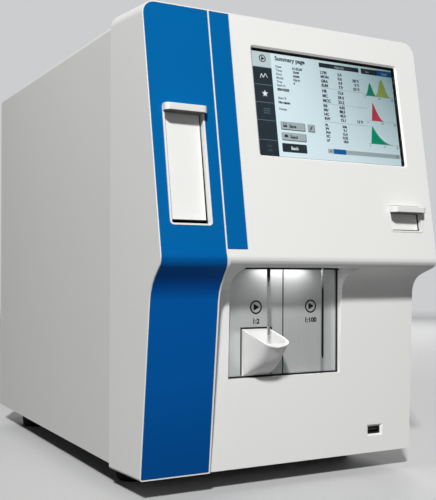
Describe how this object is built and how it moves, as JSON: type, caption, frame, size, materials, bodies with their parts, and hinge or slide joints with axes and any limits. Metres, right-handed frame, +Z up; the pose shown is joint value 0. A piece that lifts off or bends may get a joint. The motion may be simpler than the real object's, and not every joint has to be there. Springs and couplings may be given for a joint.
{
  "type": "blood cell counter",
  "caption": "Bench-top blood cell counter with a blue and white moulded front, tilted touch display, tube door, pipette drawer and an open sampling alcove with probes.",
  "frame": {"origin": "on the table, under the middle of the box that holds the instrument", "axes": "+Z up; -Y towards the operator, so +Y runs front to back; +X to the operator's right"},
  "size_m": [0.29, 0.46, 0.4097],
  "materials": {
    "moulded_white": "moulded white plastic, satin to semi-gloss",
    "painted_housing": "fine textured off-white powder coat on sheet steel",
    "blue_film": "blue printed film with a soft gloss",
    "sealing_rubber": "black rubber",
    "display_glass": "clear glass over a display",
    "plated_steel": "zinc-plated sheet steel",
    "circuit_board": "green circuit board",
    "stainless_steel": "brushed stainless steel",
    "lamp_lens": "frosted white light guide",
    "black_plastic": "black moulded plastic",
    "grey_plastic": "grey moulded plastic",
    "clear_acrylic": "clear acrylic"
  },
  "bodies": {
    "housing": {"front_bezel": "moulded_white", "blue_side_panel": "blue_film", "blue_trim_strip": "blue_film", "display_gasket": "sealing_rubber", "touch_panel": "display_glass", "lcd_module": "plated_steel", "display_board": "circuit_board", "tube_door_frame": "moulded_white", "tube_door_pin": "stainless_steel", "pipette_drawer_frame": "moulded_white", "alcove_liner": "moulded_white", "alcove_light_lens": "lamp_lens", "start_plate_rod": "stainless_steel", "left_start_switch": "black_plastic", "right_start_switch": "black_plastic", "drip_cup": "moulded_white", "probe_rail": "plated_steel", "usb_socket": "black_plastic", "housing_cover": "painted_housing", "base_plate": "plated_steel", "front_chassis": "plated_steel", "rear_panel": "painted_housing", "foot_front_left": "sealing_rubber", "foot_front_right": "sealing_rubber", "foot_rear_left": "sealing_rubber", "foot_rear_right": "sealing_rubber", "fan_frame": "black_plastic", "fan_guard": "stainless_steel", "power_inlet": "black_plastic", "diluent_port": "blue_film", "lyse_port": "moulded_white", "waste_port": "grey_plastic", "rear_usb_socket": "black_plastic", "fluidics_plate": "plated_steel", "shear_valve_body": "stainless_steel", "wbc_chamber": "clear_acrylic", "rbc_chamber": "clear_acrylic", "metering_tubes": "clear_acrylic", "vacuum_pump": "black_plastic", "liquid_pump": "grey_plastic", "pinch_valve_bank": "grey_plastic", "power_supply": "plated_steel", "main_board": "circuit_board"},
    "tube_door": {"tube_door": "moulded_white", "tube_holder": "grey_plastic"},
    "pipette_drawer": {"pipette_drawer": "moulded_white", "pipette_adapter": "grey_plastic"},
    "left_start_plate": {"left_start_plate": "stainless_steel"},
    "right_start_plate": {"right_start_plate": "stainless_steel"},
    "whole_blood_probe": {"whole_blood_probe": "stainless_steel", "whole_blood_carriage": "grey_plastic"},
    "predilute_probe": {"predilute_probe": "stainless_steel", "predilute_carriage": "grey_plastic"},
    "power_switch": {"power_switch": "black_plastic"},
    "fan_rotor": {"fan_rotor": "black_plastic"},
    "shear_valve_rotor": {"shear_valve_rotor": "moulded_white"}
  },
  "joints": [
    {"name": "tube_door_hinge", "type": "hinge", "parent": "housing", "child": "tube_door", "pos_m": [-0.1118, -0.21341, 0.23102], "axis": [1, 0, 0], "range_deg": [0, 30]},
    {"name": "pipette_drawer_slide", "type": "slide", "parent": "housing", "child": "pipette_drawer", "axis": [0, -1, 0], "range_m": [0, 0.038]},
    {"name": "left_start_plate_hinge", "type": "hinge", "parent": "housing", "child": "left_start_plate", "pos_m": [-0.03, -0.1815, 0.201], "axis": [1, 0, 0], "range_deg": [0, 4], "stiffness_Nm_per_rad": 0.9, "springref_deg": -6.88},
    {"name": "right_start_plate_hinge", "type": "hinge", "parent": "housing", "child": "right_start_plate", "pos_m": [0.028, -0.1815, 0.201], "axis": [1, 0, 0], "range_deg": [0, 4], "stiffness_Nm_per_rad": 0.9, "springref_deg": -6.88},
    {"name": "whole_blood_probe_lift", "type": "slide", "parent": "housing", "child": "whole_blood_probe", "axis": [0, 0, 1], "range_m": [0, 0.03]},
    {"name": "predilute_probe_lift", "type": "slide", "parent": "housing", "child": "predilute_probe", "axis": [0, 0, 1], "range_m": [0, 0.03]},
    {"name": "power_switch_rock", "type": "hinge", "parent": "housing", "child": "power_switch", "pos_m": [-0.092, 0.2143, 0.093], "axis": [-1, 0, 0], "range_deg": [0, 16]},
    {"name": "fan_rotor_spin", "type": "hinge", "parent": "housing", "child": "fan_rotor", "pos_m": [0.064, 0.1645, 0.313], "axis": [0, 1, 0], "continuous": true},
    {"name": "shear_valve_turn", "type": "hinge", "parent": "housing", "child": "shear_valve_rotor", "pos_m": [-0.01, -0.0735, 0.193], "axis": [1, 0, 0], "range_deg": [0, 60]}
  ]
}
